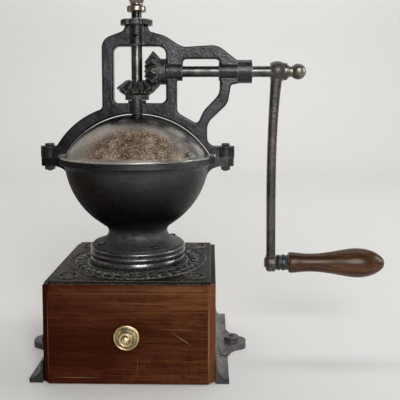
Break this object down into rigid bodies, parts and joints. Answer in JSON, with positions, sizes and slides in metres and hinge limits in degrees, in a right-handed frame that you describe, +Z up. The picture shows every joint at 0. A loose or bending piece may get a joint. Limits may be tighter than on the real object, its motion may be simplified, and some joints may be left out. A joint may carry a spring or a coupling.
{
  "type": "hand crank coffee grinder",
  "caption": "Counter coffee mill: iron hopper with domed turning lid and geared side crank on a wooden drawer box with a flared iron base.",
  "frame": {"origin": "on the counter, under the spindle axis, at the underside of the iron base", "axes": "+Z up along the spindle, +X towards the crank, -Y towards the drawer front"},
  "size_m": [0.3948, 0.2085, 0.4035],
  "materials": {
    "black_iron": "worn black, satin",
    "box_wood": "dark stained hardwood, rubbed",
    "plain_wood": "plain unstained wood",
    "grip_wood": "dark turned wood, polished by use",
    "tin": "tarnished tinned sheet",
    "dark_steel": "dark oiled steel",
    "burr_steel": "hardened steel",
    "forged_iron": "forged iron, rubbed by use",
    "nickel": "aged nickel plate",
    "brass": "aged brass"
  },
  "bodies": {
    "mill": {"base_casting": "black_iron", "base_screws": "dark_steel", "box_left_wall": "box_wood", "box_right_wall": "box_wood", "box_back_wall": "box_wood", "box_top_board": "plain_wood", "top_plate": "black_iron", "corner_screws": "dark_steel", "hopper_bowl": "black_iron", "hopper_bolts": "dark_steel", "ring_burr": "burr_steel", "lid_rear": "tin", "bridge_frame": "black_iron", "bridge_bolts": "dark_steel", "bridge_nuts": "dark_steel"},
    "crank": {"crank_shaft": "dark_steel", "drive_pinion": "dark_steel", "pinion_pin": "dark_steel", "crank_arm": "forged_iron", "crank_washer": "nickel", "crank_nut": "nickel", "handle_pin": "forged_iron"},
    "grip": {"handle_grip": "grip_wood", "handle_ferrule": "forged_iron"},
    "gear": {"spindle_gear": "dark_steel", "gear_key": "dark_steel"},
    "spindle": {"spindle": "dark_steel", "cone_burr": "burr_steel", "burr_nut": "dark_steel", "finial": "nickel"},
    "adjuster": {"adjusting_wheel": "dark_steel"},
    "lid": {"lid_front": "tin", "lid_stud": "tin"},
    "drawer": {"drawer_front": "box_wood", "drawer_left_side": "plain_wood", "drawer_right_side": "plain_wood", "drawer_back": "plain_wood", "drawer_bottom": "plain_wood", "drawer_knob": "brass", "knob_screw": "dark_steel"}
  },
  "joints": [
    {"name": "crank_turn", "type": "hinge", "parent": "mill", "child": "crank", "pos_m": [0.08, 0, 0.3118], "axis": [1, 0, 0], "continuous": true},
    {"name": "grip_spin", "type": "hinge", "parent": "crank", "child": "grip", "pos_m": [0.2, 0, 0.1], "axis": [1, 0, 0], "continuous": true},
    {"name": "spindle_turn", "type": "hinge", "parent": "mill", "child": "gear", "pos_m": [0, 0, 0.29], "axis": [0, 0, 1], "continuous": true},
    {"name": "grind_adjust", "type": "hinge", "parent": "gear", "child": "adjuster", "pos_m": [0, 0, 0.364], "axis": [0, 0, 1], "range_deg": [-90, 360]},
    {"name": "spindle_lift", "type": "slide", "parent": "gear", "child": "spindle", "axis": [0, 0, 1], "range_m": [-0.0015, 0.00038]},
    {"name": "lid_turn", "type": "hinge", "parent": "mill", "child": "lid", "pos_m": [0, 0, 0.22], "axis": [0, 0, 1], "range_deg": [-120, 30]},
    {"name": "drawer_slide", "type": "slide", "parent": "mill", "child": "drawer", "axis": [0, -1, 0], "range_m": [0, 0.12]}
  ],
  "couplings": [
    {"joint": "spindle_turn", "follows": "crank_turn", "ratio": 1},
    {"joint": "grind_adjust", "follows": "spindle_lift", "rad_per_m": -4188.8}
  ]
}
